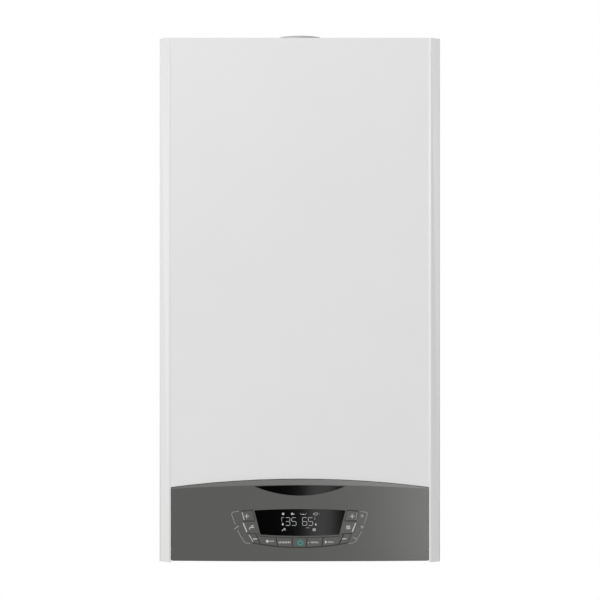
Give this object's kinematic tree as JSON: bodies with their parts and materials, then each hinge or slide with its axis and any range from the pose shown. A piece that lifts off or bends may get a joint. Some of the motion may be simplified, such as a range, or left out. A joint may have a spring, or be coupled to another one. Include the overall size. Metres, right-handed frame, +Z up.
{
  "type": "combi boiler",
  "caption": "Wall-hung condensing combi boiler with a bevelled white cover, arched dark control fascia, round flue socket and pipe tails below.",
  "frame": {"origin": "on the wall plane, on the centreline, level with the lower edge of the casing", "axes": "+X to the right as seen from the front, -Y out of the wall to the front, +Z up"},
  "size_m": [0.4, 0.3194, 0.7862],
  "materials": {
    "white_enamel": "satin white enamel",
    "grey_enamel": "satin white enamel",
    "zinc_steel": "zinc plated",
    "fascia_plastic": "fine-grained moulding",
    "black_gloss": "gloss",
    "key_rubber": "satin",
    "flue_plastic": "satin",
    "seal_rubber": "matt",
    "cast_aluminium": "as cast",
    "black_plastic": "moulded",
    "board_green": "lacquered",
    "vessel_red": "gloss paint",
    "copper": "drawn copper tube",
    "brass": "machined",
    "pump_iron": "painted casting",
    "red_knob": "moulded",
    "blue_knob": "moulded",
    "gauge_white": "moulded",
    "waste_plastic": "moulded"
  },
  "bodies": {
    "chassis": {"air_intake": "black_plastic", "back_panel": "zinc_steel", "burner_door": "cast_aluminium", "chamber_seal": "seal_rubber", "chamber_tray": "zinc_steel", "condensate_trap": "waste_plastic", "connection_plate": "zinc_steel", "diverter_motor": "black_plastic", "expansion_vessel": "vessel_red", "fan_motor": "black_plastic", "fan_volute": "cast_aluminium", "filling_tap": "brass", "flow_manifold": "black_plastic", "flow_pipe": "copper", "flue_adaptor": "flue_plastic", "gas_pipe": "copper", "gas_valve": "cast_aluminium", "heat_exchanger": "cast_aluminium", "hinge_brackets": "zinc_steel", "pipe_tails": "brass", "plate_exchanger": "zinc_steel", "premix_duct": "cast_aluminium", "pressure_gauge": "gauge_white", "pump_housing": "pump_iron", "pump_motor": "black_plastic", "return_manifold": "black_plastic", "return_pipe": "copper", "safety_valve": "brass", "side_panel_left": "grey_enamel", "side_panel_right": "grey_enamel", "top_plate": "grey_enamel", "vessel_pipe": "copper", "wall_bracket": "zinc_steel"},
    "front_cover": {"front_cover": "white_enamel"},
    "control_panel": {"control_fascia": "fascia_plastic", "black_lens": "black_gloss", "display_window": "black_gloss", "control_box": "black_plastic", "circuit_board": "board_green"},
    "key_automatic": {"key_automatic": "key_rubber"},
    "key_comfort": {"key_comfort": "key_rubber"},
    "key_heating_down": {"key_heating_down": "key_rubber"},
    "key_heating_up": {"key_heating_up": "key_rubber"},
    "key_mode": {"key_mode": "key_rubber"},
    "key_power": {"key_power": "key_rubber"},
    "key_reset": {"key_reset": "key_rubber"},
    "key_water_down": {"key_water_down": "key_rubber"},
    "key_water_up": {"key_water_up": "key_rubber"},
    "gauge_needle": {"gauge_needle": "black_plastic"},
    "filling_knob": {"filling_knob": "blue_knob"},
    "safety_knob": {"safety_knob": "red_knob"}
  },
  "joints": [
    {"name": "cover_slide", "type": "slide", "parent": "chassis", "child": "front_cover", "axis": [0, -1, 0], "range_m": [0, 0.2]},
    {"name": "panel_hinge", "type": "hinge", "parent": "chassis", "child": "control_panel", "pos_m": [0, -0.298, 0.008], "axis": [1, 0, 0], "range_deg": [0, 90]},
    {"name": "press_automatic", "type": "slide", "parent": "control_panel", "child": "key_automatic", "axis": [0, 1, 0], "range_m": [0, 0.0012], "stiffness_N_per_m": 250, "springref_m": -0.0005},
    {"name": "press_comfort", "type": "slide", "parent": "control_panel", "child": "key_comfort", "axis": [0, 1, 0], "range_m": [0, 0.0012], "stiffness_N_per_m": 250, "springref_m": -0.0005},
    {"name": "press_heating_down", "type": "slide", "parent": "control_panel", "child": "key_heating_down", "axis": [0, 1, 0], "range_m": [0, 0.0012], "stiffness_N_per_m": 250, "springref_m": -0.0005},
    {"name": "press_heating_up", "type": "slide", "parent": "control_panel", "child": "key_heating_up", "axis": [0, 1, 0], "range_m": [0, 0.0012], "stiffness_N_per_m": 250, "springref_m": -0.0005},
    {"name": "press_mode", "type": "slide", "parent": "control_panel", "child": "key_mode", "axis": [0, 1, 0], "range_m": [0, 0.0012], "stiffness_N_per_m": 250, "springref_m": -0.0005},
    {"name": "press_power", "type": "slide", "parent": "control_panel", "child": "key_power", "axis": [0, 1, 0], "range_m": [0, 0.0012], "stiffness_N_per_m": 250, "springref_m": -0.0005},
    {"name": "press_reset", "type": "slide", "parent": "control_panel", "child": "key_reset", "axis": [0, 1, 0], "range_m": [0, 0.0012], "stiffness_N_per_m": 250, "springref_m": -0.0005},
    {"name": "press_water_down", "type": "slide", "parent": "control_panel", "child": "key_water_down", "axis": [0, 1, 0], "range_m": [0, 0.0012], "stiffness_N_per_m": 250, "springref_m": -0.0005},
    {"name": "press_water_up", "type": "slide", "parent": "control_panel", "child": "key_water_up", "axis": [0, 1, 0], "range_m": [0, 0.0012], "stiffness_N_per_m": 250, "springref_m": -0.0005},
    {"name": "needle_turn", "type": "hinge", "parent": "chassis", "child": "gauge_needle", "pos_m": [0.163, -0.203, 0.0032], "axis": [0, 0, 1], "range_deg": [0, 270]},
    {"name": "filling_turn", "type": "hinge", "parent": "chassis", "child": "filling_knob", "pos_m": [0.065, -0.195, 0.012], "axis": [0, 0, -1], "range_deg": [0, 270]},
    {"name": "safety_turn", "type": "hinge", "parent": "chassis", "child": "safety_knob", "pos_m": [0.132, -0.205, 0.085], "axis": [0, -1, 0], "range_deg": [0, 90]}
  ]
}
